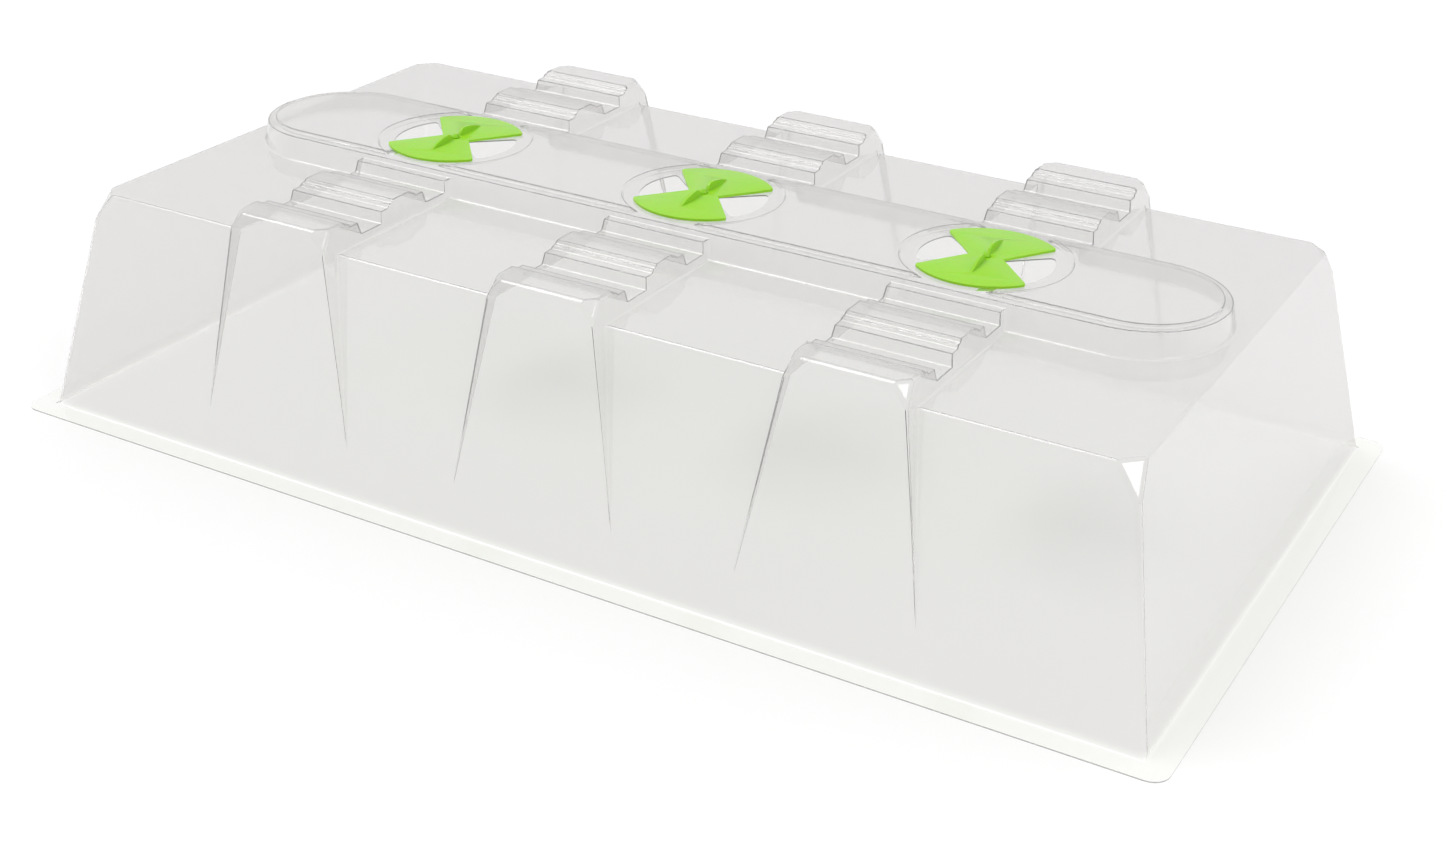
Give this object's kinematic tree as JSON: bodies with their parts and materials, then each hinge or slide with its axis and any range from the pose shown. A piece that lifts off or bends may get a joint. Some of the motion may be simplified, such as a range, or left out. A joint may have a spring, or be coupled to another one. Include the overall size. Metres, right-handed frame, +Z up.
{
  "type": "vented propagation dome",
  "caption": "Clear thermoformed propagation dome with a flat rim, raised ridge, notched lamp buttresses and bow-tie rotary vents.",
  "frame": {"origin": "centre of the rim's outline, on the underside of the rim", "axes": "+X along the dome's length, +Y across its width, +Z up out of the roof"},
  "size_m": [1.22, 0.664, 0.2591],
  "materials": {
    "clear_sheet": "clear thermoformed plastic sheet, high gloss, 1.2 mm thick",
    "lime_plastic": "moulded lime green plastic, semi-gloss"
  },
  "bodies": {
    "dome": {"dome_shell": "clear_sheet", "retaining_pin_left": "lime_plastic", "retaining_pin_middle": "lime_plastic", "retaining_pin_right": "lime_plastic"},
    "rotor_left": {"vent_rotor_left": "lime_plastic"},
    "rotor_middle": {"vent_rotor_middle": "lime_plastic"},
    "rotor_right": {"vent_rotor_right": "lime_plastic"}
  },
  "joints": [
    {"name": "vent_left_turn", "type": "hinge", "parent": "dome", "child": "rotor_left", "pos_m": [-0.296, 0, 0.2493], "axis": [0, 0, 1], "continuous": true},
    {"name": "vent_middle_turn", "type": "hinge", "parent": "dome", "child": "rotor_middle", "pos_m": [0, 0, 0.2493], "axis": [0, 0, 1], "continuous": true},
    {"name": "vent_right_turn", "type": "hinge", "parent": "dome", "child": "rotor_right", "pos_m": [0.296, 0, 0.2493], "axis": [0, 0, 1], "continuous": true}
  ]
}
